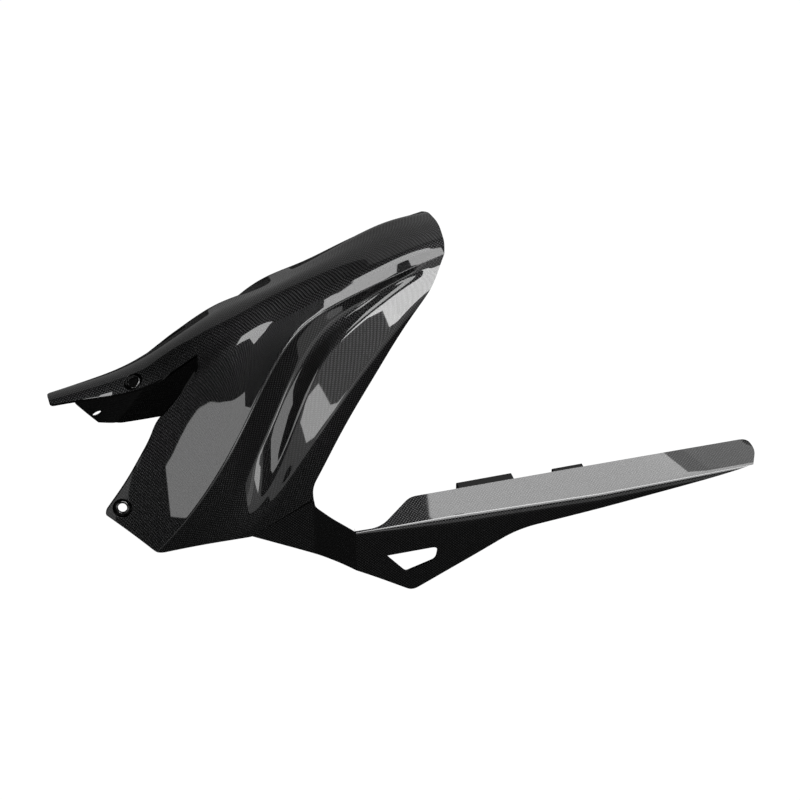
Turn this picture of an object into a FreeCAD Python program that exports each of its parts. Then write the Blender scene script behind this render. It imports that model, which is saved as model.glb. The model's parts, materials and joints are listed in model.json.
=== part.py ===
import FreeCAD, Part
import math
import os
from FreeCAD import Vector

# Rear fender of a motorcycle, moulded in one piece with its chain guard, and two brackets bonded
# under the guard. Millimetres: X rearward, Y to the rider's right, Z up. The model is drawn about
# the wheel plane (Y = 0) and moved at the end, so that the tongue's bolt hole is the origin.

# Laminate and the pressed side panels
WALL = 2.2
CHANNEL_DEPTH = 8.0
CHANNEL_FRONT_SHARE = 0.22
CHANNEL_REAR_SHARE = 0.58

# Crown line on the wheel plane (x, z), from the tongue's tip to the rear end
CROWN = [(-110, 124), (-40, 134), (5, 143), (40, 161), (75, 181), (120, 198), (180, 223), (240, 244),
         (300, 258), (345, 262)]

# Creases of one side (x, half width, z), each from front to rear
SHOULDER = [(-110, 46, 97), (-20, 47, 111), (30, 44, 134), (80, 40.5, 168), (105, 37, 184), (140, 25, 197),
            (200, 29, 225), (232, 29, 237), (265, 34, 250.5), (310, 27, 255.5), (345, 24, 258)]
KNEE = [(-110, 114, -78), (4, 110, 4), (45, 104, 45), (77, 95, 86), (116, 78, 145), (150, 57, 191),
        (195, 43, 212), (245, 44, 231), (305, 40, 249), (345, 38, 258)]
RIDGE = [(-110, 115, -90), (60, 110, -2), (100, 107, 22), (122, 101, 57), (153, 86, 124), (180, 72, 173),
         (220, 59, 202), (270, 48, 228), (345, 42, 252)]
RIM = [(-110, 116, -100), (60, 112, -12), (105, 109, 14), (145, 102, 70), (190, 89, 126), (240, 72, 177),
       (285, 56, 216), (345, 46, 244)]
HEM = [(-110, 117, -112), (60, 114, -32), (130, 114, -14), (165, 112, 22), (200, 104, 78), (250, 86, 148),
       (300, 61, 206), (345, 52, 226)]
STATIONS = [-105, -30, 25, 60, 90, 115, 140, 170, 205, 250, 295, 340]
CHANNEL_ENDS = (78, 118, 240, 312)

# How far each crease is rounded along its two faces
SHOULDER_ROUND = 9.0
KNEE_ROUND = 5.0
CHANNEL_ROUND = 5.0
RIDGE_ROUND = 6.0
RIM_ROUND = 7.0
SMOOTH_FROM = 10.0
INNER_ROUND_SHARE = 0.5
CREASE_ROUNDS = [0, RIM_ROUND, RIDGE_ROUND, CHANNEL_ROUND, CHANNEL_ROUND, KNEE_ROUND, SHOULDER_ROUND]

# Side outline of the body (x, z, corner rounding)
LEG_TOE = (-70, 59)
LEG_HEEL = (3, 0.5, 7)
FLANK_FOOT = (97, 1, 3)
GUARD_ROOT = (161, 26, 6)
REAR_EDGE = [(160, 46, 12), (196, 104, 30), (262, 188, 30), (300, 228, 14), (324, 268, 0)]
# Front edges of the two legs, from below the toe to the crotch beside the tongue
LEFT_FRONT = [(-41.2, 20, 0), (-41.2, 39, 4), (-17, 65, 20), (10, 100, 20), (19.5, 116.5, 10), (34, 128.5, 10),
              (65, 159.5, 6), (68, 166, 4)]
RIGHT_FRONT = [(-14, 8, 0), (-17.5, 16, 5), (-48, 78, 12), (-30, 98, 14), (20, 118, 14), (52, 147, 14),
               (68, 166, 4)]

# Plan outline of the tongue (x, half width, corner rounding) and of the rear end
TONGUE = [(-77, 9.5, 4), (-55, 12, 10), (6, 22, 20), (30, 25, 20), (96, 24, 1)]
REAR_END_X = 319.5
REAR_CORNER = 34.0
REAR_HALF = 40.0

# Chain guard: plate, fold and skirt
GUARD_END_X = 630
PLATE_INNER = 92.0
PLATE_SPARE = 8.0
# Fold and inner end of the plate (x, half width of the fold, its z, z of the inner end, rounding of the fold)
GUARD_LINE = [(200, 122, -10, 3, 1.5), (300, 125.5, -12.5, 2, 7), (455, 131, -13.5, 0.4, 7),
              (640, 136, -5, -3.8, 7)]
# Half width of the skirt's root, from the flank to the fold (x, half width)
SKIRT_ROOT = [(85, 110.5), (125, 111.3), (161, 112.2), (180, 115.5), (200, 122)]
ROOT_TOP = 80.0
# Lower edge of the skirt (x, z, corner rounding)
SKIRT_EDGE = [(143, -25, 20), (205, -61, 30), (258, -97, 7), (330, -59, 20), (368, -38, 35), (456, -28, 40),
              (618, -6.5, 3)]
# Upper edge of the skirt in the notch (x, z, corner rounding)
NOTCH_EDGE = [(178, 7, 10), (200, -9.5, 2)]
# Inner edge of the plate in plan (x, half width, corner rounding), and the tip (back from the end, half width)
SKIRT_CLEAR = 7.0
PLATE_EDGE = [(200, 119, 0), (226, 119.5, 20), (264, PLATE_INNER, 7)]
GUARD_TIP_ROUND = 9.0
GUARD_TIP = [(-1, 112, 8), (18, 150, 0)]
# Window in the skirt (x, z, corner rounding)
WINDOW = [(231, -45.3, 1.5), (285, -44, 7), (282.5, -60, 5), (251, -70.5, 3)]

# Bolt holes with dished seats: the tongue's (x, y), the legs' (x, z)
BOLT_R = 4.5
DISH_R = 9.5
DISH_DEPTH = 2.2
CUP_SPARE = 2.2
TONGUE_HOLE = (5, -13.2)
LEFT_HOLE = (-25, 41.7)
RIGHT_HOLE = (-20.4, 37.5)

# Brackets bonded under the guard's plate (x of the middle, length, reach past the plate's inner edge)
BRACKET_WALL = 2.5
BRACKET_LAP = 14.0
BRACKET_SINK = 1.2
BRACKET_DROP = 26.0
BRACKET_BEND = 5.0
BRACKET_HOLE_R = 3.3
BRACKETS = {"front_guard_bracket": (346, 58, 13), "rear_guard_bracket": (434, 32, 8)}

# Room past every outline for cutters, and the most of a side that one rounding may take
FAR = 400
MAX_ROUND_SHARE = 0.46


def along(knots, x):
    """Values of a crease at x, by a smooth curve through its knots that never overshoots."""
    xs = [knot[0] for knot in knots]
    steps = [xs[i + 1] - xs[i] for i in range(len(xs) - 1)]
    i = max(k for k in range(len(steps)) if xs[k] <= x or k == 0)
    values = []
    for column in range(1, len(knots[0])):
        ys = [knot[column] for knot in knots]
        rises = [(ys[k + 1] - ys[k]) / steps[k] for k in range(len(steps))]
        ends = []
        for k in (i, i + 1):
            before = rises[max(k - 1, 0)]
            after = rises[min(k, len(rises) - 1)]
            ends.append(0.0 if before * after <= 0 else 2 * before * after / (before + after))
        t = (x - xs[i]) / steps[i]
        values.append(ys[i] * (1 + 2 * t) * (1 - t) ** 2 + steps[i] * ends[0] * t * (1 - t) ** 2
                      + ys[i + 1] * t * t * (3 - 2 * t) + steps[i] * ends[1] * t * t * (t - 1))
    return values


def ramp(x, start, end):
    """0 before start, 1 after end, smooth between."""
    t = min(max((x - start) / (end - start), 0.0), 1.0)
    return t * t * (3 - 2 * t)


def rounded(corners, rounds, closed, smooth_from=0.0):
    """Spans of a polyline, as lists of poles: corners are tangent parabolas, or flats where small."""
    count = len(corners)
    cuts = []
    for i, corner in enumerate(corners):
        if not closed and i in (0, count - 1):
            cuts.append((corner, corner))
            continue
        before = corners[i - 1] - corner
        after = corners[(i + 1) % count] - corner
        reach = min(rounds[i], MAX_ROUND_SHARE * before.Length, MAX_ROUND_SHARE * after.Length)
        cuts.append((corner + before.normalize() * reach, corner + after.normalize() * reach))
    spans = []
    for i in range(count):
        start, end = cuts[i]
        if rounds[i] > 0:
            spans.append([start, corners[i], end] if rounds[i] >= smooth_from else [start, end])
        if closed or i < count - 1:
            spans.append([end, cuts[(i + 1) % count][0]])
    return spans


def edge(poles):
    if len(poles) == 2:
        return Part.LineSegment(*poles).toShape()
    bend = Part.BezierCurve()
    bend.setPoles(poles)
    return bend.toShape()


def closed_face(spans):
    return Part.Face(Part.Wire([edge(poles) for poles in spans]))


def skin(sections, stations):
    """Closed solid through sections of like spans: every pole runs on a smooth curve along X."""
    faces = [closed_face(sections[0]), closed_face(sections[-1])]
    for column in range(len(sections[0])):
        rails = []
        for row in range(len(sections[0][column])):
            rail = Part.BSplineCurve()
            rail.interpolate(Points=[section[column][row] for section in sections], Parameters=stations)
            rails.append(rail)
        degree = len(rails) - 1
        surface = Part.BSplineSurface()
        surface.buildFromPolesMultsKnots(
            [list(poles) for poles in zip(*[rail.getPoles() for rail in rails])],
            rails[0].getMultiplicities(), [degree + 1, degree + 1], rails[0].getKnots(), [0.0, 1.0],
            False, False, rails[0].Degree, degree)
        faces.append(surface.toShape())
    shell = Part.makeShell(faces)
    shell.sewShape()
    solid = Part.Solid(Part.Shell(shell.Faces))
    if solid.Volume < 0:
        solid.reverse()
    return solid


def prism(outline, place, direction):
    """Solid from a closed outline of (a, b, rounding) corners, put in space by place."""
    corners = [place(a, b) for a, b, r in outline]
    return closed_face(rounded(corners, [r for a, b, r in outline], True)).extrude(direction)


def side_prism(outline, start=-FAR, end=FAR):
    return prism(outline, lambda x, z: Vector(x, start, z), Vector(0, end - start, 0))


def plan_prism(outline):
    return prism(outline, lambda x, y: Vector(x, y, -FAR), Vector(0, 0, 2 * FAR))


def side_points(x):
    """Corners of one side's section at x, from the hem up to the crown, as (half width, z)."""
    knee = along(KNEE, x)
    ridge = along(RIDGE, x)
    depth = CHANNEL_DEPTH * ramp(x, *CHANNEL_ENDS[:2]) * (1 - ramp(x, *CHANNEL_ENDS[2:]))
    run = (ridge[0] - knee[0], ridge[1] - knee[1])
    length = math.hypot(*run)
    inward = (run[1] / length, -run[0] / length)

    def floor(share):
        return (knee[0] + share * run[0] + depth * inward[0], knee[1] + share * run[1] + depth * inward[1])

    shoulder = along(SHOULDER, x)
    share = MAX_ROUND_SHARE / 2
    top = (along(CROWN, x)[0] - share * shoulder[1]) / (1 - share)
    return [tuple(along(HEM, x)), tuple(along(RIM, x)), tuple(ridge), floor(CHANNEL_REAR_SHARE),
            floor(CHANNEL_FRONT_SHARE), tuple(knee), tuple(shoulder), (0.0, top)]


def inset(x, points, step=2.0):
    """Section corners moved inward by the wall, measured square to the skin."""
    ahead = side_points(x + step)
    behind = side_points(x - step)
    inner = []
    for i, (y, z) in enumerate(points):
        slope = Vector(2 * step, ahead[i][0] - behind[i][0], ahead[i][1] - behind[i][1])
        normals = []
        for k in (i - 1, i + 1):
            if 0 <= k < len(points):
                across = Vector(0, points[k][0] - y, points[k][1] - z) * (1 if k > i else -1)
                normals.append(across.cross(slope).normalize())
        if i == len(points) - 1:
            normals.append(Vector(normals[0].x, -normals[0].y, normals[0].z))
        mean = normals[0] if len(normals) == 1 else (normals[0] + normals[1]).normalize()
        flat = math.hypot(mean.y, mean.z)
        reach = WALL / (mean.dot(normals[0]) * flat)
        inner.append((y - reach * mean.y / flat, z - reach * mean.z / flat))
    return inner


def body_section(x):
    """Closed section of the shell at x: rounded outer skin over the crown, flatted inner skin back."""
    outer = side_points(x)
    curves = []
    for points, share, smooth in ((outer, 1.0, SMOOTH_FROM), (inset(x, outer), INNER_ROUND_SHARE, SMOOTH_FROM)):
        left = [Vector(x, -y, z) for y, z in points]
        right = [Vector(x, y, z) for y, z in reversed(points[:-1])]
        half = [share * reach for reach in CREASE_ROUNDS]
        curves.append(rounded(left + right, half + [FAR] + half[::-1], False, smooth))
    inner = [poles[::-1] for poles in reversed(curves[1])]
    right_hem = [curves[0][-1][-1], inner[0][0]]
    left_hem = [inner[-1][-1], curves[0][0][0]]
    return curves[0] + [right_hem] + inner + [left_hem]


def body(shell):
    """Crown, side panels, legs and tongue, trimmed from one loft through the stations."""
    above = CROWN[-1][1] + FAR
    front = STATIONS[0] - FAR
    side = side_prism([LEG_TOE + (0,), LEG_HEEL, FLANK_FOOT, GUARD_ROOT] + REAR_EDGE
                      + [(REAR_EDGE[-1][0], above, 0), (front, above, 0), (front, LEG_TOE[1], 0)])
    tongue = plan_prism([(x, -y, r) for x, y, r in TONGUE] + [(x, y, r) for x, y, r in reversed(TONGUE)])
    trimmed = shell.common(side)
    for line, start, end in ((LEFT_FRONT, -FAR, 0), (RIGHT_FRONT, 0, FAR)):
        opening = side_prism(line + [(line[-1][0], above, 0), (front, above, 0), (front, line[0][1], 0)], start, end)
        trimmed = trimmed.cut(opening.cut(tongue))
    end = plan_prism([(front, -FAR, 0), (REAR_END_X - REAR_CORNER, -FAR, 0),
                      (REAR_END_X - REAR_CORNER, -REAR_HALF - REAR_CORNER, 0),
                      (REAR_END_X, -REAR_HALF, REAR_CORNER), (REAR_END_X, REAR_HALF, REAR_CORNER),
                      (REAR_END_X - REAR_CORNER, REAR_HALF + REAR_CORNER, 0),
                      (REAR_END_X - REAR_CORNER, FAR, 0), (front, FAR, 0)])
    return trimmed.common(end)


def skirt_foot():
    """Height to which the untrimmed skirt runs down."""
    return min(z for x, z, r in SKIRT_EDGE) - SKIRT_CLEAR


def guard_section(station):
    """Closed section of the guard: plate, rounded fold and skirt."""
    x, width, height, inner_height, fold_round = station
    inner_end = PLATE_INNER - PLATE_SPARE
    low = skirt_foot()
    corners = [(inner_end, inner_height), (width, height), (width, low)]
    back = [(width - WALL, low), (width - WALL, height - WALL),
            (inner_end, inner_height - WALL)]
    rounds = [0, fold_round, 0, 0, fold_round / 2, 0]
    return rounded([Vector(x, -y, z) for y, z in corners + back], rounds, True, fold_round)


def root_section(station):
    """Closed section of the skirt where it grows out of the flank."""
    x, width = station
    low = skirt_foot()
    corners = [(width, ROOT_TOP), (width, low), (width - WALL, low), (width - WALL, ROOT_TOP)]
    return rounded([Vector(x, -y, z) for y, z in corners], [0, 0, 0, 0], True)


def guard():
    """Chain guard, trimmed to its side and plan outlines, with the window in its skirt."""
    shell = skin([root_section(row) for row in SKIRT_ROOT], [row[0] for row in SKIRT_ROOT])
    for front, rear in zip(GUARD_LINE, GUARD_LINE[1:]):
        shell = shell.fuse(skin([guard_section(front), guard_section(rear)], [front[0], rear[0]]))
    above = ROOT_TOP + FAR
    side = side_prism([FLANK_FOOT[:2] + (0,), GUARD_ROOT] + NOTCH_EDGE
                      + [(NOTCH_EDGE[-1][0], above, 0), (GUARD_END_X + FAR, above, 0),
                         (GUARD_END_X + FAR, SKIRT_EDGE[-1][1], 0)] + SKIRT_EDGE[::-1])
    inner = min(width for x, width in SKIRT_ROOT) - SKIRT_CLEAR
    plan = plan_prism([(FLANK_FOOT[0] - FAR, -inner, 0), (NOTCH_EDGE[-1][0], -inner, 0)]
                      + [(x, -y, r) for x, y, r in PLATE_EDGE]
                      + [(GUARD_END_X, -PLATE_INNER, GUARD_TIP_ROUND)]
                      + [(GUARD_END_X - x, -y, r) for x, y, r in GUARD_TIP]
                      + [(GUARD_END_X - GUARD_TIP[-1][0], -FAR, 0), (FLANK_FOOT[0] - FAR, -FAR, 0)])
    return shell.common(side).common(plan).cut(side_prism(WINDOW))


def on_skin(shell, origin, direction):
    """First point of the skin on a line, and the skin's outward normal there."""
    hits = shell.common(Part.makeLine(origin, origin + direction * 2 * FAR)).Vertexes
    point = min((hit.Point for hit in hits), key=origin.distanceToPoint)
    near = Part.Vertex(point)
    face = min(shell.Faces, key=lambda f: f.distToShape(near)[0])
    normal = face.normalAt(*face.Surface.parameter(point))
    return point, normal if normal.dot(direction) < 0 else -normal


def plain_hole(fender, point, normal):
    """Bolt hole straight through the laminate."""
    hole = Part.makeCylinder(BOLT_R, 4 * DISH_DEPTH, point + normal * DISH_DEPTH, -normal)
    return fender.cut(hole), point - normal * WALL / 2


def dished_hole(fender, point, normal):
    """Bolt hole at the bottom of a dished seat pressed into the laminate."""
    floor = point - normal * DISH_DEPTH
    cup = Part.makeCone(DISH_R + CUP_SPARE, BOLT_R + CUP_SPARE, DISH_DEPTH + WALL / 2, point - normal * WALL / 2, -normal)
    dish = Part.makeCone(2 * DISH_R - BOLT_R, BOLT_R, 2 * DISH_DEPTH, point + normal * DISH_DEPTH, -normal)
    hole = Part.makeCylinder(BOLT_R, 4 * DISH_DEPTH, point + normal * DISH_DEPTH, -normal)
    return fender.fuse(cup).cut(dish).cut(hole), floor - normal * WALL / 2


def bracket(fender, middle, length, reach):
    """Moulded bracket: a lap under the plate, a step past its inner edge and a leg with a bolt hole."""
    width, height, inner_height, fold_round = along(GUARD_LINE, middle)
    slope = (inner_height - height) / (width - PLATE_INNER + PLATE_SPARE)
    edge_height = inner_height - slope * PLATE_SPARE - WALL + BRACKET_SINK
    inner = PLATE_INNER - reach
    top = [(PLATE_INNER + BRACKET_LAP, edge_height - slope * BRACKET_LAP), (PLATE_INNER, edge_height),
           (inner, edge_height), (inner, edge_height - BRACKET_DROP)]
    low = BRACKET_WALL + BRACKET_SINK
    under = [(inner + BRACKET_WALL, edge_height - BRACKET_DROP), (inner + BRACKET_WALL, edge_height - low),
             (PLATE_INNER, edge_height - low), (PLATE_INNER + BRACKET_LAP, edge_height - slope * BRACKET_LAP - low)]
    rounds = [0, 0, BRACKET_BEND, 0, 0, BRACKET_BEND / 2, 0, 0]
    start = middle - length / 2
    corners = [Vector(start, -y, z) for y, z in top + under]
    blank = closed_face(rounded(corners, rounds, True)).extrude(Vector(length, 0, 0))
    hole = Vector(middle, -inner - BRACKET_WALL, edge_height - BRACKET_DROP + 3 * BRACKET_HOLE_R)
    drill = Part.makeCylinder(BRACKET_HOLE_R, 3 * BRACKET_WALL, hole - Vector(0, BRACKET_WALL, 0), Vector(0, 1, 0))
    return blank.cut(fender).cut(drill), hole + Vector(0, BRACKET_WALL / 2, 0)


def save(shape, name):
    assert shape.isValid() and len(shape.Solids) == 1, name
    shape.exportStep(os.path.join("parts", name + ".step"))


def main():
    os.makedirs("parts", exist_ok=True)
    shell = skin([body_section(x) for x in STATIONS], STATIONS)
    fender = body(shell).fuse(guard())
    seats = {"tongue_bolt": on_skin(shell, Vector(*TONGUE_HOLE, FAR), Vector(0, 0, -1)),
             "left_leg_bolt": on_skin(shell, Vector(LEFT_HOLE[0], -FAR, LEFT_HOLE[1]), Vector(0, 1, 0)),
             "right_leg_bolt": on_skin(shell, Vector(RIGHT_HOLE[0], FAR, RIGHT_HOLE[1]), Vector(0, -1, 0))}
    bores = {}
    for name, (point, normal) in seats.items():
        drill = plain_hole if name == "right_leg_bolt" else dished_hole
        fender, middle = drill(fender, point, normal)
        bores[name] = (middle, normal)
    pieces = {"fender": fender}
    for name, (middle, length, reach) in BRACKETS.items():
        pieces[name], hole = bracket(fender, middle, length, reach)
        bores[name + "_bolt"] = (hole, Vector(0, 1, 0))
    origin = bores["tongue_bolt"][0]
    for name, shape in pieces.items():
        shape = shape.removeSplitter()
        shape.translate(-origin)
        save(shape, name)
    for name, (middle, normal) in bores.items():
        print(name, middle - origin, normal)
    print("wheel plane", -origin)


main()
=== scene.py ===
import json
import math

import bmesh
import bpy
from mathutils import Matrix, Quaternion, Vector


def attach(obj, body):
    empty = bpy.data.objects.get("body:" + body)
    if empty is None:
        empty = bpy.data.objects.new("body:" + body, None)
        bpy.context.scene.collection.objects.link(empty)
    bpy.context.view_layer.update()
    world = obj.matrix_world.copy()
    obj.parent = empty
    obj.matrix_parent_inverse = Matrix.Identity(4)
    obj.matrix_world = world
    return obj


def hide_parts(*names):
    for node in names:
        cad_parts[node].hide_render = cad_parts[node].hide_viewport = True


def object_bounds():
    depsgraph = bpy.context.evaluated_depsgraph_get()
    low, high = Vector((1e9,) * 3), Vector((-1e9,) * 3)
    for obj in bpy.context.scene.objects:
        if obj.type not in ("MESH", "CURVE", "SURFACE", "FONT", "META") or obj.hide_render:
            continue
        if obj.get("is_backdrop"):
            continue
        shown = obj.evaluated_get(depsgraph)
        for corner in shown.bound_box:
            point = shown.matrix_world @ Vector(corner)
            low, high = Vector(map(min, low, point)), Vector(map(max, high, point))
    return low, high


# Motorcycle rear fender in clear-coated woven carbon. Lengths are in millimetres about the wheel plane.
# WHEEL_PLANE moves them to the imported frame, and MM scales them to metres.
MM = 0.001
WHEEL_PLANE = Vector((-5.993, 12.007, -138.377))

# Laminate, and the channel in each side panel: its floor's two edges as (share from knee to ridge, depth),
# and where along x it deepens and runs out
WALL = 2.2
CHANNEL_FRONT = (0.10, 2.0)
CHANNEL_REAR = (0.55, 9.0)
CHANNEL_ENDS = (78, 118, 235, 304)

# Crown on the wheel plane (x, z), and the creases of one side (x, half width, z)
CROWN = [(-110, 124), (-40, 134), (5, 143), (40, 161), (75, 181.5), (110, 195), (180, 221.5),
         (240, 242.5), (300, 259), (345, 261)]
SHOULDER = [(-110, 46, 97), (-20, 47, 111), (30, 44, 134), (80, 40.5, 168.5), (105, 37, 185.5),
            (140, 27, 197.5), (200, 28.5, 222.5), (232, 29.5, 236), (265, 32, 249), (290, 30, 255.5),
            (345, 24, 258)]
KNEE = [(-110, 114, -78), (4, 110, 4), (45, 104, 45), (77, 95, 86), (116, 78, 145), (150, 57, 191),
        (195, 43, 212), (245, 44, 231), (305, 40, 249), (345, 38, 258)]
RIDGE = [(-110, 115, -90), (60, 110, -2), (100, 107, 22), (122, 101, 57), (153, 86, 124), (180, 72, 173),
         (220, 59, 202), (270, 48, 228), (345, 42, 252)]
RIM = [(-110, 116, -100), (60, 111.6, -12), (105, 109.1, 14), (145, 104.5, 70), (190, 92, 126),
       (240, 75, 177), (285, 59, 216), (345, 48, 244)]
HEM = [(-110, 117, -112), (60, 113.5, -32), (130, 113.6, -14), (165, 111.5, 22), (200, 96.5, 78),
       (250, 75.5, 148), (300, 58, 206), (345, 50, 226)]
BODY_START = -105
BODY_END = 340
ROW_STEP = 2.5
GUARD_ROW_STEP = 3 * ROW_STEP
SMOOTHING = 26.0
SMOOTHING_WEIGHTS = (1, 2, 3, 2, 1)

# Rounding of each crease along its two faces, from hem to shoulder, and grid columns of flats and roundings
CREASE_ROUNDS = [0, 5.0, 5.0, 6.0, 3.0, 4.0, 5.0]
CROWN_ROUND = 400.0
MAX_ROUND_SHARE = 0.46
FLAT_COLUMNS = 7
ROUND_COLUMNS = 5
CROWN_COLUMNS = 16

# Side outline and front edges of the legs (x, z, rounding), plan of the tongue (x, half width, rounding)
# and of the rear end
LEG_TOE = (-70, 59)
LEG_HEEL = (3, 0.5, 7)
FLANK_FOOT = (97, 1, 3)
GUARD_ROOT = (161, 26, 0)
REAR_EDGE = [(160, 46, 12), (196, 104, 30), (262, 188, 30), (300, 228, 14), (324, 268, 0)]
LEFT_FRONT = [(-41.2, 20, 0), (-41.2, 39, 4), (-17, 65, 20), (10, 100, 20), (19.5, 116.5, 10),
              (34, 128.5, 10), (65, 159.5, 6), (68, 166, 4)]
RIGHT_FRONT = [(-14, 8, 0), (-17.5, 16, 5), (-48, 78, 12), (-30, 98, 14), (20, 118, 14), (52, 147, 14),
               (68, 166, 4)]
TONGUE = [(-77, 9.5, 4), (-55, 12, 10), (6, 22, 20), (30, 25, 20), (96, 24, 1)]
REAR_END_X = 319.5
REAR_CORNER = 34.0
REAR_HALF = 40.0

# Chain guard (x, half width of the fold, its z, z of the plate's inner end, rounding). The root joins
# its skirt to the flank, with a top edge that falls from ROOT_TOP as ROOT_SLOPE says (start x, end x,
# end z). The outlines are (x, z, rounding) from the side and (x, half width, rounding) from above.
# The tip's x counts back from the guard's end.
GUARD_END_X = 630
PLATE_INNER = 92.0
PLATE_SPARE = 8.0
SKIRT_DEPTH = 110.0
GUARD_LINE = [(200, 122, -10, 3, 1.5), (300, 125.5, -12.5, 2, 7), (455, 131, -13.5, 0.4, 7),
              (640, 136, -5, -3.8, 7)]
SKIRT_ROOT = [(85, 110.5), (125, 111.3), (161, 112.2), (180, 115.5), (200, 122)]
ROOT_TOP = 80.0
ROOT_SLOPE = (160, 200, -9.7)
FOOT_LAP = 0.5
SKIRT_EDGE = [(143, -25, 20), (205, -61, 30), (258, -97, 7), (330, -59, 20), (368, -38, 35), (456, -28, 40),
              (618, -6.5, 3)]
NOTCH_EDGE = [(160.2, 34, 0), (161.5, 24, 8), (178, 7, 10), (200, -9.5, 0)]
SKIRT_INNER = 104.0
PLATE_EDGE = [(200, 119, 0), (226, 119.5, 20), (264, PLATE_INNER, 7)]
GUARD_TIP_ROUND = 9.0
GUARD_TIP = [(-1, 112, 8), (18, 150, 0)]
WINDOW = [(231, -45.3, 1.5), (285, -44, 7), (282.5, -60, 5), (251, -70.5, 3)]

# Bolt holes: a dish pressed into the laminate, a lip around the bore (share of height, share of width), and
# the cup that backs the dish
BOLT_R = 4.5
DISH_R = 9.5
DISH_DEPTH = 2.2
DISH_TAPER = 1.6
CUT_SPARE = 4.0
BORE_SPARE = 1.0
HOLE_LAND = 0.2
CUP_SPARE = 2.2
CUP_SUNK = 2.0
HOLE_SIDES = 48
LIP_HEIGHT = 2.0
LIP_WIDTH = 3.2
LIP_SHAPE = [(0.4, 0), (0.75, 0.08), (0.95, 0.22), (1, 0.4), (0.92, 0.58), (0.7, 0.76), (0.35, 0.92),
             (0, 1)]

# Cutters reach FAR and overlap by LAP, and edges sharper than EDGE_ANGLE degrees are broken
FAR = 400
CORNER_STEPS = 8
EDGE_BEVEL = 0.5
EDGE_ANGLE = 27.0
EDGE_SEGMENTS = 2
LAP = 0.05

# Weave and clear coat: painted sheen and shade in the fibre colour, lighter on the tow crowns and darker
# between tows, in full on squares of one direction and by CROSS_SHADE on those of the other
TOW = 1.7
CROSS_SHADE = 0.2
WEAVE_DEPTH = 0.25
WEAVE_BUMP = 0.5
CARBON_DARK = (0.002, 0.002, 0.002, 1)
# Painted sheen colour of the tow crowns; CARBON_DARK is the fibres' own colour
CARBON_PAINTED_SHEEN = (0.036, 0.036, 0.037, 1)
FIBRE_ROUGHNESS = 0.42
FIBRE_STRETCH = 0.8
QUARTER_TURN = 0.25
COAT_ROUGHNESS = 0.025
COAT_IOR = 1.55

# Bracket plastic
PLASTIC_BLACK = (0.004, 0.004, 0.004, 1)
PLASTIC_ROUGHNESS = 0.6
PLASTIC_SPECULAR = 0.2
GRAIN_SCALE = 900.0
GRAIN_DEPTH = 0.1
GRAIN_BUMP = 0.15

# Camera of the photo
VIEW_AZIMUTH = -16.0
VIEW_ELEVATION = 37.0
VIEW_DISTANCE = 2500.0
VIEW_TARGET = Vector((266, -50, 91))
LENS = 112.5
SENSOR = 36.0
CLIP_END = 20.0

# Studio: floor and room are white to the camera and dark to the part, as in the photo's reflections
WHITE = (1, 1, 1, 1)
FLOOR_GAP = 60.0
FLOOR_REACH = 6000.0
FLOOR_DARK = (0.006, 0.006, 0.006, 1)
FLOOR_ROUGHNESS = 0.9
ROOM_DARK = (0.02, 0.02, 0.02, 1)
LAMP_DISTANCE = 1500.0
CEILING_HEIGHT = 1450.0

# Lamps around the part (name, azimuth, elevation, width and height, roll, radiance)
SOFTBOXES = [("left_window", -49, 18, (600, 440), -40, 3),
             ("front_box", 0, 36, (300, 350), 0, 11),
             ("low_strip", -10, 6, (500, 150), 0, 5),
             ("right_fill", 35, -5, (2000, 1200), -30, 0.6),
             ("front_fill", -8, 12, (1000, 1100), 0, 0.7),
             ("back_wall", 175, 25, (2600, 1600), 0, 0.3)]

# Lamps overhead (name, x and y of the centre, sides along x and y, radiance)
CEILING_LAMPS = [("left_ceiling", (50, -400), (800, 800), 6.5),
                 ("right_ceiling", (950, 300), (600, 950), 6),
                 ("end_ceiling", (1150, 1050), (700, 550), 1.4),
                 ("fold_strip", (850, -350), (800, 300), 14),
                 ("front_ceiling", (850, -800), (800, 600), 5)]


def along(knots, x):
    """Values of a crease at x, by a smooth curve through its knots that never overshoots."""
    xs = [knot[0] for knot in knots]
    steps = [xs[i + 1] - xs[i] for i in range(len(xs) - 1)]
    i = max(k for k in range(len(steps)) if xs[k] <= x or k == 0)
    values = []
    for column in range(1, len(knots[0])):
        ys = [knot[column] for knot in knots]
        rises = [(ys[k + 1] - ys[k]) / steps[k] for k in range(len(steps))]
        ends = []
        for k in (i, i + 1):
            before = rises[max(k - 1, 0)]
            after = rises[min(k, len(rises) - 1)]
            ends.append(0.0 if before * after <= 0 else 2 * before * after / (before + after))
        t = (x - xs[i]) / steps[i]
        values.append(ys[i] * (1 + 2 * t) * (1 - t) ** 2 + steps[i] * ends[0] * t * (1 - t) ** 2
                      + ys[i + 1] * t * t * (3 - 2 * t) + steps[i] * ends[1] * t * t * (t - 1))
    return values


def eased(knots, x):
    """The crease at x, averaged over a short stretch so that its bends flow."""
    low, high = knots[0][0], knots[-1][0]
    reach = len(SMOOTHING_WEIGHTS) // 2
    places = [min(max(x + k * SMOOTHING / reach, low), high) for k in range(-reach, reach + 1)]
    samples = [along(knots, place) for place in places]
    total = sum(SMOOTHING_WEIGHTS)
    columns = zip(*samples)
    return [sum(w * value for w, value in zip(SMOOTHING_WEIGHTS, column)) / total for column in columns]


def ramp(x, start, end):
    """0 before start, 1 after end, smooth between."""
    t = min(max((x - start) / (end - start), 0.0), 1.0)
    return t * t * (3 - 2 * t)


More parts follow.
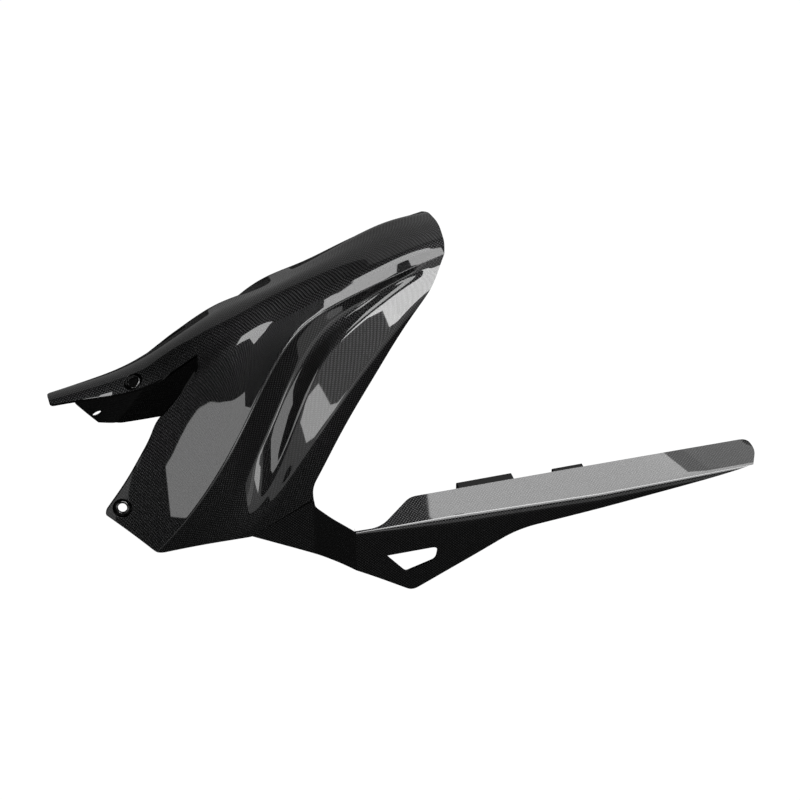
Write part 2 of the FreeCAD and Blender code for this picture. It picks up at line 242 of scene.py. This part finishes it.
def rounded(corners, rounds, closed, flat_columns, round_columns):
    """Points along a polyline of vectors whose corners are tangent parabolas."""
    count = len(corners)
    cuts = []
    for i, corner in enumerate(corners):
        if not closed and i in (0, count - 1):
            cuts.append((corner, corner))
            continue
        before = corners[i - 1] - corner
        after = corners[(i + 1) % count] - corner
        reach = min(rounds[i], MAX_ROUND_SHARE * before.length, MAX_ROUND_SHARE * after.length)
        cuts.append((corner + before.normalized() * reach, corner + after.normalized() * reach))
    points = []
    for i in range(count):
        start, end = cuts[i]
        steps = round_columns[i] if rounds[i] > 0 else 0
        for k in range(steps):
            t = k / steps
            points.append(start * (1 - t) ** 2 + corners[i] * 2 * t * (1 - t) + end * t * t)
        if not closed and i == count - 1:
            points.append(end)
            break
        following = cuts[(i + 1) % count][0]
        for k in range(flat_columns):
            points.append(end.lerp(following, k / flat_columns))
    return points


def side_points(x):
    """Corners of one side's section at x, from the hem up to the crown, as (half width, z)."""
    knee = eased(KNEE, x)
    ridge = eased(RIDGE, x)
    fade = ramp(x, *CHANNEL_ENDS[:2]) * (1 - ramp(x, *CHANNEL_ENDS[2:]))
    run = (ridge[0] - knee[0], ridge[1] - knee[1])
    length = math.hypot(*run)
    inward = (run[1] / length, -run[0] / length)

    def floor(share, depth):
        sunk = depth * fade
        return (knee[0] + share * run[0] + sunk * inward[0], knee[1] + share * run[1] + sunk * inward[1])

    shoulder = eased(SHOULDER, x)
    share = MAX_ROUND_SHARE / 2
    top = (eased(CROWN, x)[0] - share * shoulder[1]) / (1 - share)
    return [tuple(eased(HEM, x)), tuple(eased(RIM, x)), tuple(ridge), floor(*CHANNEL_REAR),
            floor(*CHANNEL_FRONT), tuple(knee), tuple(shoulder), (0.0, top)]


def body_row(x):
    """Outer skin of the body at x, from the left hem over the crown to the right hem."""
    half = side_points(x)
    corners = [Vector((x, -y, z)) for y, z in half] + [Vector((x, y, z)) for y, z in reversed(half[:-1])]
    rounds = CREASE_ROUNDS + [CROWN_ROUND] + CREASE_ROUNDS[::-1]
    columns = [ROUND_COLUMNS] * len(CREASE_ROUNDS)
    return rounded(corners, rounds, False, FLAT_COLUMNS, columns + [CROWN_COLUMNS] + columns)


def guard_row(x):
    """Outer skin of the guard at x, from the plate's inner end over the fold to the skirt's foot."""
    k = max(i for i in range(len(GUARD_LINE) - 1) if GUARD_LINE[i][0] <= x or i == 0)
    share = (x - GUARD_LINE[k][0]) / (GUARD_LINE[k + 1][0] - GUARD_LINE[k][0])
    width, height, inner_height, fold_round = [a + share * (b - a)
                                               for a, b in zip(GUARD_LINE[k][1:], GUARD_LINE[k + 1][1:])]
    corners = [Vector((x, PLATE_SPARE - PLATE_INNER, inner_height)), Vector((x, -width, height)),
               Vector((x, -width, height - SKIRT_DEPTH))]
    return rounded(corners, [0, fold_round, 0], False, 2 * FLAT_COLUMNS, [0, 2 * ROUND_COLUMNS, 0])


def root_row(x):
    """Outer skin of the skirt where it grows out of the flank."""
    width = along(SKIRT_ROOT, x)[0]
    start, end, low = ROOT_SLOPE
    top = Vector((x, -width, ROOT_TOP + (low - ROOT_TOP) * max(x - start, 0) / (end - start)))
    foot = Vector((x, -width, GUARD_LINE[0][2] - SKIRT_DEPTH))
    return [top.lerp(foot, k / (3 * FLAT_COLUMNS)) for k in range(3 * FLAT_COLUMNS + 1)]


def steps_between(start, end, step):
    count = max(int(round((end - start) / step)), 1)
    return [start + (end - start) * k / count for k in range(count + 1)]


def placed(point):
    return (point + WHEEL_PLANE) * MM


def new_object(name, vertices, faces):
    mesh = bpy.data.meshes.new(name)
    mesh.from_pydata([placed(v) for v in vertices], [], faces)
    mesh.update()
    piece = bpy.data.objects.new(name, mesh)
    bpy.context.scene.collection.objects.link(piece)
    return piece


def thick_skin(name, rows, outward_hint):
    """Closed shell: a grid of rows and its inward offset, with cloth coordinates in millimetres."""
    height, width = len(rows), len(rows[0])

    def normal(i, j):
        down = rows[min(i + 1, height - 1)][j] - rows[max(i - 1, 0)][j]
        across = rows[i][min(j + 1, width - 1)] - rows[i][max(j - 1, 0)]
        return across.cross(down).normalized()

    normals = [[normal(i, j) for j in range(width)] for i in range(height)]
    middle = normals[height // 2][width // 2]
    flip = -1 if middle.dot(outward_hint) < 0 else 1
    outer = [point for row in rows for point in row]
    inner = [rows[i][j] - normals[i][j] * flip * WALL for i in range(height) for j in range(width)]
    total = height * width
    faces = []
    for i in range(height - 1):
        for j in range(width - 1):
            a = i * width + j
            quad = (a, a + 1, a + width + 1, a + width)
            faces.append(quad if flip > 0 else quad[::-1])
            back = tuple(total + k for k in quad)
            faces.append(back[::-1] if flip > 0 else back)
    border = list(range(width))
    border += [i * width + width - 1 for i in range(1, height)]
    border += [(height - 1) * width + j for j in range(width - 2, -1, -1)]
    border += [i * width for i in range(height - 2, 0, -1)]
    for k, a in enumerate(border):
        b = border[(k + 1) % len(border)]
        quad = (a, a + total, b + total, b)
        faces.append(quad if flip > 0 else quad[::-1])
    piece = new_object(name, outer + inner, faces)
    facing_out(piece)
    lay_cloth(piece, rows)
    return piece


def lay_cloth(piece, rows):
    """Cloth coordinates in millimetres: from row to row, and along each row from its middle."""
    height, width = len(rows), len(rows[0])
    total = height * width
    centre = width // 2
    cloth = [[0.0, 0.0] for k in range(total)]
    for i in range(height):
        for j in range(width):
            if i > 0:
                step = (rows[i][j] - rows[i - 1][j]).length
                cloth[i * width + j][0] = cloth[(i - 1) * width + j][0] + step
        for j in range(centre + 1, width):
            cloth[i * width + j][1] = cloth[i * width + j - 1][1] + (rows[i][j] - rows[i][j - 1]).length
        for j in range(centre - 1, -1, -1):
            cloth[i * width + j][1] = cloth[i * width + j + 1][1] - (rows[i][j] - rows[i][j + 1]).length
    layer = piece.data.uv_layers.new(name="cloth")
    for loop in piece.data.loops:
        layer.data[loop.index].uv = cloth[loop.vertex_index % total]


def outline(corners):
    """Closed outline of (a, b, rounding) corners as flat points."""
    flat = [Vector((a, b, 0)) for a, b, r in corners]
    rounds = [r for a, b, r in corners]
    return rounded(flat, rounds, True, 1, [CORNER_STEPS if r > 0 else 0 for r in rounds])


def prism(name, corners, place, travel):
    """Closed cutter from an outline, put in space by place and swept by travel."""
    ring = [place(p.x, p.y) for p in outline(corners)]
    count = len(ring)
    faces = [tuple(range(count))[::-1], tuple(range(count, 2 * count))]
    faces += [(k, (k + 1) % count, count + (k + 1) % count, count + k) for k in range(count)]
    piece = new_object(name, ring + [p + travel for p in ring], faces)
    facing_out(piece)
    return piece


def facing_out(piece):
    """Turns all faces of a closed piece outward."""
    solid = bmesh.new()
    solid.from_mesh(piece.data)
    bmesh.ops.recalc_face_normals(solid, faces=solid.faces)
    solid.to_mesh(piece.data)
    solid.free()


def side_prism(name, corners, start=-FAR, end=FAR):
    return prism(name, corners, lambda x, z: Vector((x, start, z)), Vector((0, end - start, 0)))


def plan_prism(name, corners):
    return prism(name, corners, lambda x, y: Vector((x, y, -FAR)), Vector((0, 0, 2 * FAR)))


def lathe(name, profile, point, axis):
    """Closed turned solid: profile of (distance along the axis, radius)."""
    side = axis.orthogonal().normalized()
    other = axis.cross(side)
    vertices = []
    for distance, radius in profile:
        for k in range(HOLE_SIDES):
            angle = 2 * math.pi * k / HOLE_SIDES
            spoke = side * math.cos(angle) + other * math.sin(angle)
            vertices.append(point + axis * distance + spoke * radius)
    faces = []
    for i in range(len(profile) - 1):
        for k in range(HOLE_SIDES):
            a = i * HOLE_SIDES + k
            b = i * HOLE_SIDES + (k + 1) % HOLE_SIDES
            faces.append((a, b, b + HOLE_SIDES, a + HOLE_SIDES))
    last = (len(profile) - 1) * HOLE_SIDES
    faces.append(tuple(range(HOLE_SIDES))[::-1])
    faces.append(tuple(range(last, last + HOLE_SIDES)))
    piece = new_object(name, vertices, faces)
    facing_out(piece)
    return piece


def combine(piece, tool, operation):
    """Applies one Boolean and removes the tool."""
    modifier = piece.modifiers.new(operation, "BOOLEAN")
    modifier.operation = operation
    modifier.solver = "MANIFOLD"
    modifier.object = tool
    bpy.context.view_layer.update()
    result = bpy.data.meshes.new_from_object(piece.evaluated_get(bpy.context.evaluated_depsgraph_get()))
    piece.modifiers.clear()
    old = piece.data
    piece.data = result
    bpy.data.meshes.remove(old)
    bpy.data.objects.remove(tool)


def build_body():
    """Crown, side panels, legs and tongue, trimmed to their outlines."""
    rows = [body_row(x) for x in steps_between(BODY_START, BODY_END, ROW_STEP)]
    piece = thick_skin("fender_shell", rows, Vector((0, 0, 1)))
    above = CROWN[-1][1] + FAR
    front = BODY_START - FAR
    side = side_prism("side_cutter", [LEG_TOE + (0,), LEG_HEEL, FLANK_FOOT, GUARD_ROOT] + REAR_EDGE
                      + [(REAR_EDGE[-1][0], above, 0), (front, above, 0), (front, LEG_TOE[1], 0)])
    combine(piece, side, "INTERSECT")
    for line, start, end in ((LEFT_FRONT, -FAR, LAP), (RIGHT_FRONT, -LAP, FAR)):
        around = [(line[-1][0], above, 0), (front, above, 0), (front, line[0][1], 0)]
        opening = side_prism("opening", line + around, start, end)
        tongue = plan_prism("tongue", [(x, -y, r) for x, y, r in TONGUE]
                            + [(x, y, r) for x, y, r in reversed(TONGUE)])
        combine(opening, tongue, "DIFFERENCE")
        combine(piece, opening, "DIFFERENCE")
    corner_x = REAR_END_X - REAR_CORNER
    rear_end = [(front, -FAR, 0), (corner_x, -FAR, 0), (corner_x, -REAR_HALF - REAR_CORNER, 0),
                (REAR_END_X, -REAR_HALF, REAR_CORNER), (REAR_END_X, REAR_HALF, REAR_CORNER),
                (corner_x, REAR_HALF + REAR_CORNER, 0), (corner_x, FAR, 0), (front, FAR, 0)]
    combine(piece, plan_prism("end_cutter", rear_end), "INTERSECT")
    return piece


def build_guard():
    """Plate, fold and skirt with its window, and the root that joins the skirt to the flank."""
    start, end = GUARD_LINE[0][0] - LAP, GUARD_LINE[-1][0]
    rows = [guard_row(x) for x in steps_between(start, end, GUARD_ROW_STEP)]
    piece = thick_skin("guard", rows, Vector((0, -1, 1)))
    root_rows = [root_row(x) for x in steps_between(SKIRT_ROOT[0][0], SKIRT_ROOT[-1][0], ROW_STEP)]
    root = thick_skin("root", root_rows, Vector((0, -1, 0)))
    combine(piece, root, "UNION")
    above = ROOT_TOP + FAR
    foot = (FLANK_FOOT[0] - FOOT_LAP, FLANK_FOOT[1] + FOOT_LAP, 0)
    side = side_prism("side_cutter", [foot] + NOTCH_EDGE
                      + [(NOTCH_EDGE[-1][0] + LAP, above, 0), (GUARD_END_X + FAR, above, 0),
                         (GUARD_END_X + FAR, SKIRT_EDGE[-1][1], 0)] + SKIRT_EDGE[::-1])
    combine(piece, side, "INTERSECT")
    behind = FLANK_FOOT[0] - FAR
    plan = plan_prism("plan_cutter", [(behind, -SKIRT_INNER, 0), (NOTCH_EDGE[-1][0], -SKIRT_INNER, 0)]
                      + [(x, -y, r) for x, y, r in PLATE_EDGE]
                      + [(GUARD_END_X, -PLATE_INNER, GUARD_TIP_ROUND)]
                      + [(GUARD_END_X - x, -y, r) for x, y, r in GUARD_TIP]
                      + [(GUARD_END_X - GUARD_TIP[-1][0], -FAR, 0), (behind, -FAR, 0)])
    combine(piece, plan, "INTERSECT")
    combine(piece, side_prism("window", WINDOW), "DIFFERENCE")
    return piece


def drill(piece, mount, dished):
    """Bolt hole at a mount of the record: a dished seat with a lip, or a plain hole with eased edges."""
    point = Vector(mount["pos_m"]) / MM - WHEEL_PLANE
    axis = Vector(mount["axis"])
    if dished:
        floor = WALL / 2
        surface = floor + DISH_DEPTH
        cup = [(-floor, BOLT_R + CUP_SPARE), (surface - CUP_SUNK, DISH_R)]
        combine(piece, lathe("cup", cup, point, axis), "UNION")
        lip = [(floor + rise * LIP_HEIGHT, BOLT_R + out * LIP_WIDTH) for rise, out in LIP_SHAPE]
        slope = DISH_TAPER / (surface - floor)
        wall = [(floor, DISH_R - DISH_TAPER), (surface + CUT_SPARE, DISH_R + slope * CUT_SPARE)]
        dish = [(-floor - BORE_SPARE, BOLT_R)] + lip + wall
        combine(piece, lathe("dish", dish, point, axis), "DIFFERENCE")
    else:
        hole = [(-CUT_SPARE, BOLT_R + CUT_SPARE), (-HOLE_LAND, BOLT_R), (HOLE_LAND, BOLT_R),
                (CUT_SPARE, BOLT_R + CUT_SPARE)]
        combine(piece, lathe("hole", hole, point, axis), "DIFFERENCE")


def node_tree(material):
    material.use_nodes = True
    tree = material.node_tree
    return tree, tree.nodes["Principled BSDF"]


def math_node(tree, operation, first, second=None):
    node = tree.nodes.new("ShaderNodeMath")
    node.operation = operation
    for socket, value in zip(node.inputs, (first, second)):
        if value is None:
            continue
        if isinstance(value, (int, float)):
            socket.default_value = value
        else:
            tree.links.new(value, socket)
    return node.outputs[0]


def carbon():
    """Plain-weave carbon under a gloss clear coat, laid along the cloth coordinates, with painted sheen and
    shade in its weave colour.
    """
    material = bpy.data.materials.new("carbon_weave")
    tree, shader = node_tree(material)
    cloth = tree.nodes.new("ShaderNodeUVMap")
    cloth.uv_map = "cloth"
    split = tree.nodes.new("ShaderNodeSeparateXYZ")
    tree.links.new(cloth.outputs["UV"], split.inputs[0])
    along_tow = math_node(tree, "DIVIDE", split.outputs[0], TOW)
    across_tow = math_node(tree, "DIVIDE", split.outputs[1], TOW)
    parity = math_node(tree, "ADD", math_node(tree, "FLOOR", along_tow),
                       math_node(tree, "FLOOR", across_tow))
    over = math_node(tree, "FLOORED_MODULO", parity, 2.0)
    humps = []
    for value in (along_tow, across_tow):
        phase = math_node(tree, "MULTIPLY", math_node(tree, "FRACT", value), math.pi)
        humps.append(math_node(tree, "SINE", phase))
    under = math_node(tree, "SUBTRACT", 1.0, over)
    height = math_node(tree, "ADD", math_node(tree, "MULTIPLY", humps[0], over),
                       math_node(tree, "MULTIPLY", humps[1], under))
    # Painted sheen and shade: the fibre colour is lighter on the tow crowns, darker between tows and dimmer
    # on the cross squares
    sheen_share = math_node(tree, "ADD", math_node(tree, "MULTIPLY", over, 1 - CROSS_SHADE), CROSS_SHADE)
    painted_sheen = math_node(tree, "MULTIPLY", height, sheen_share)
    colour = tree.nodes.new("ShaderNodeMix")
    colour.data_type = "RGBA"
    colour.inputs["A"].default_value = CARBON_DARK
    colour.inputs["B"].default_value = CARBON_PAINTED_SHEEN
    tree.links.new(painted_sheen, colour.inputs["Factor"])
    tree.links.new(colour.outputs["Result"], shader.inputs["Base Color"])
    bump = tree.nodes.new("ShaderNodeBump")
    bump.inputs["Strength"].default_value = WEAVE_BUMP
    bump.inputs["Distance"].default_value = WEAVE_DEPTH * MM
    tree.links.new(height, bump.inputs["Height"])
    tree.links.new(bump.outputs["Normal"], shader.inputs["Normal"])
    shader.inputs["Metallic"].default_value = 1.0
    shader.inputs["Roughness"].default_value = FIBRE_ROUGHNESS
    shader.inputs["Anisotropic"].default_value = FIBRE_STRETCH
    tree.links.new(math_node(tree, "MULTIPLY", over, QUARTER_TURN), shader.inputs["Anisotropic Rotation"])
    lay = tree.nodes.new("ShaderNodeTangent")
    lay.direction_type = "UV_MAP"
    lay.uv_map = "cloth"
    tree.links.new(lay.outputs["Tangent"], shader.inputs["Tangent"])
    shader.inputs["Coat Weight"].default_value = 1.0
    shader.inputs["Coat Roughness"].default_value = COAT_ROUGHNESS
    shader.inputs["Coat IOR"].default_value = COAT_IOR
    return material


def plastic():
    """Moulded black plastic with a fine grain."""
    material = bpy.data.materials.new("bracket_plastic")
    tree, shader = node_tree(material)
    grain = tree.nodes.new("ShaderNodeTexNoise")
    grain.inputs["Scale"].default_value = GRAIN_SCALE
    bump = tree.nodes.new("ShaderNodeBump")
    bump.inputs["Strength"].default_value = GRAIN_BUMP
    bump.inputs["Distance"].default_value = GRAIN_DEPTH * MM
    tree.links.new(grain.outputs["Fac"], bump.inputs["Height"])
    tree.links.new(bump.outputs["Normal"], shader.inputs["Normal"])
    shader.inputs["Base Color"].default_value = PLASTIC_BLACK
    shader.inputs["Roughness"].default_value = PLASTIC_ROUGHNESS
    shader.inputs["Specular IOR Level"].default_value = PLASTIC_SPECULAR
    return material


def finish_edges(piece):
    """Breaks the trimmed edges and shades the skin smooth."""
    for polygon in piece.data.polygons:
        polygon.use_smooth = True
    piece.data.set_sharp_from_angle(angle=math.radians(EDGE_ANGLE))
    bevel = piece.modifiers.new("edge_break", "BEVEL")
    bevel.width = EDGE_BEVEL * MM
    bevel.segments = EDGE_SEGMENTS
    bevel.limit_method = "ANGLE"
    bevel.angle_limit = math.radians(EDGE_ANGLE)
    bevel.harden_normals = True


def softbox(name, azimuth, elevation, size, roll, radiance):
    """Lamp panel that faces the object from an azimuth and an elevation, rolled about its own axis."""
    turn, rise = math.radians(azimuth), math.radians(elevation)
    outward = Vector((math.sin(turn) * math.cos(rise), -math.cos(turn) * math.cos(rise), math.sin(rise)))
    panel(name, VIEW_TARGET + outward * LAMP_DISTANCE, outward, size, roll, radiance)


def ceiling(name, place, size, radiance):
    """Lamp panel overhead, square to the floor's axes."""
    panel(name, Vector((*place, CEILING_HEIGHT)), Vector((0, 0, 1)), size, 0, radiance)


def panel(name, centre, outward, size, roll, radiance):
    """Rectangular lamp of an even radiance, as seen in the coat."""
    lamp = bpy.data.lights.new(name, "AREA")
    lamp.shape = "RECTANGLE"
    lamp.size = size[0] * MM
    lamp.size_y = size[1] * MM
    lamp.energy = radiance * math.pi * lamp.size * lamp.size_y
    holder = bpy.data.objects.new(name, lamp)
    holder.location = placed(centre)
    turn = outward.to_track_quat("Z", "Y") @ Quaternion((0, 0, 1), math.radians(roll))
    holder.rotation_euler = turn.to_euler()
    bpy.context.scene.collection.objects.link(holder)


def white_world():
    """White to the camera, dim to everything else."""
    world = bpy.data.worlds.new("studio")
    bpy.context.scene.world = world
    world.use_nodes = True
    tree = world.node_tree
    tree.nodes.clear()
    path = tree.nodes.new("ShaderNodeLightPath")
    room = tree.nodes.new("ShaderNodeBackground")
    room.inputs["Color"].default_value = ROOM_DARK
    paper = tree.nodes.new("ShaderNodeBackground")
    paper.inputs["Color"].default_value = WHITE
    mix = tree.nodes.new("ShaderNodeMixShader")
    output = tree.nodes.new("ShaderNodeOutputWorld")
    tree.links.new(path.outputs["Is Camera Ray"], mix.inputs["Fac"])
    tree.links.new(room.outputs[0], mix.inputs[1])
    tree.links.new(paper.outputs[0], mix.inputs[2])
    tree.links.new(mix.outputs[0], output.inputs["Surface"])


def paper_floor():
    """Plain floor, white to the camera and dark to the part."""
    low = min(corner[2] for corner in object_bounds()) - FLOOR_GAP * MM
    reach = FLOOR_REACH * MM
    mesh = bpy.data.meshes.new("floor")
    corners = [(-reach, -reach, low), (reach, -reach, low), (reach, reach, low), (-reach, reach, low)]
    mesh.from_pydata(corners, [], [(0, 1, 2, 3)])
    floor = bpy.data.objects.new("floor", mesh)
    bpy.context.scene.collection.objects.link(floor)
    material = bpy.data.materials.new("paper")
    tree, shader = node_tree(material)
    shader.inputs["Base Color"].default_value = FLOOR_DARK
    shader.inputs["Roughness"].default_value = FLOOR_ROUGHNESS
    path = tree.nodes.new("ShaderNodeLightPath")
    tree.links.new(path.outputs["Is Camera Ray"], shader.inputs["Emission Strength"])
    shader.inputs["Emission Color"].default_value = WHITE
    mesh.materials.append(material)
    floor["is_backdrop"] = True


def photo_camera():
    """The camera as the photo was taken."""
    azimuth = math.radians(VIEW_AZIMUTH)
    elevation = math.radians(VIEW_ELEVATION)
    back = Vector((math.sin(azimuth) * math.cos(elevation), -math.cos(azimuth) * math.cos(elevation),
                   math.sin(elevation)))
    data = bpy.data.cameras.new("photo_camera")
    data.lens = LENS
    data.sensor_width = SENSOR
    data.clip_end = CLIP_END
    camera = bpy.data.objects.new("photo_camera", data)
    camera.location = placed(VIEW_TARGET + back * VIEW_DISTANCE)
    camera.rotation_euler = back.to_track_quat("Z", "Y").to_euler()
    bpy.context.scene.collection.objects.link(camera)
    bpy.context.scene.camera = camera


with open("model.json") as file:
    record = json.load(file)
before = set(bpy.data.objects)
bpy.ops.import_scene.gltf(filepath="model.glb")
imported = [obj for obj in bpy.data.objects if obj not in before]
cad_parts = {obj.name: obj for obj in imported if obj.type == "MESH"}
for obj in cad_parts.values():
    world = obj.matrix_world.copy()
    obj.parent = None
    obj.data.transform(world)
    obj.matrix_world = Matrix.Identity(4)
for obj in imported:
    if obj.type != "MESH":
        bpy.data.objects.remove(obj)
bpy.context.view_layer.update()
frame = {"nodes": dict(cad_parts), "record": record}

fender = build_body()
combine(fender, build_guard(), "UNION")
mounts = {mount["name"]: mount for mount in frame["record"]["mounts"]}
drill(fender, mounts["tongue_bolt"], True)
drill(fender, mounts["left_leg_bolt"], True)
drill(fender, mounts["right_leg_bolt"], False)
fender.name = "fender_weave"
fender.data.materials.clear()
fender.data.materials.append(carbon())
finish_edges(fender)
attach(fender, "root")
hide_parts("fender")

bracket_finish = plastic()
for name in ("front_guard_bracket", "rear_guard_bracket"):
    node = frame["nodes"][name]
    node.data.materials.clear()
    node.data.materials.append(bracket_finish)

for lamp in SOFTBOXES:
    softbox(*lamp)
for lamp in CEILING_LAMPS:
    ceiling(*lamp)
white_world()
paper_floor()
photo_camera()

bpy.context.scene.view_settings.view_transform = "Standard"

bpy.context.view_layer.update()
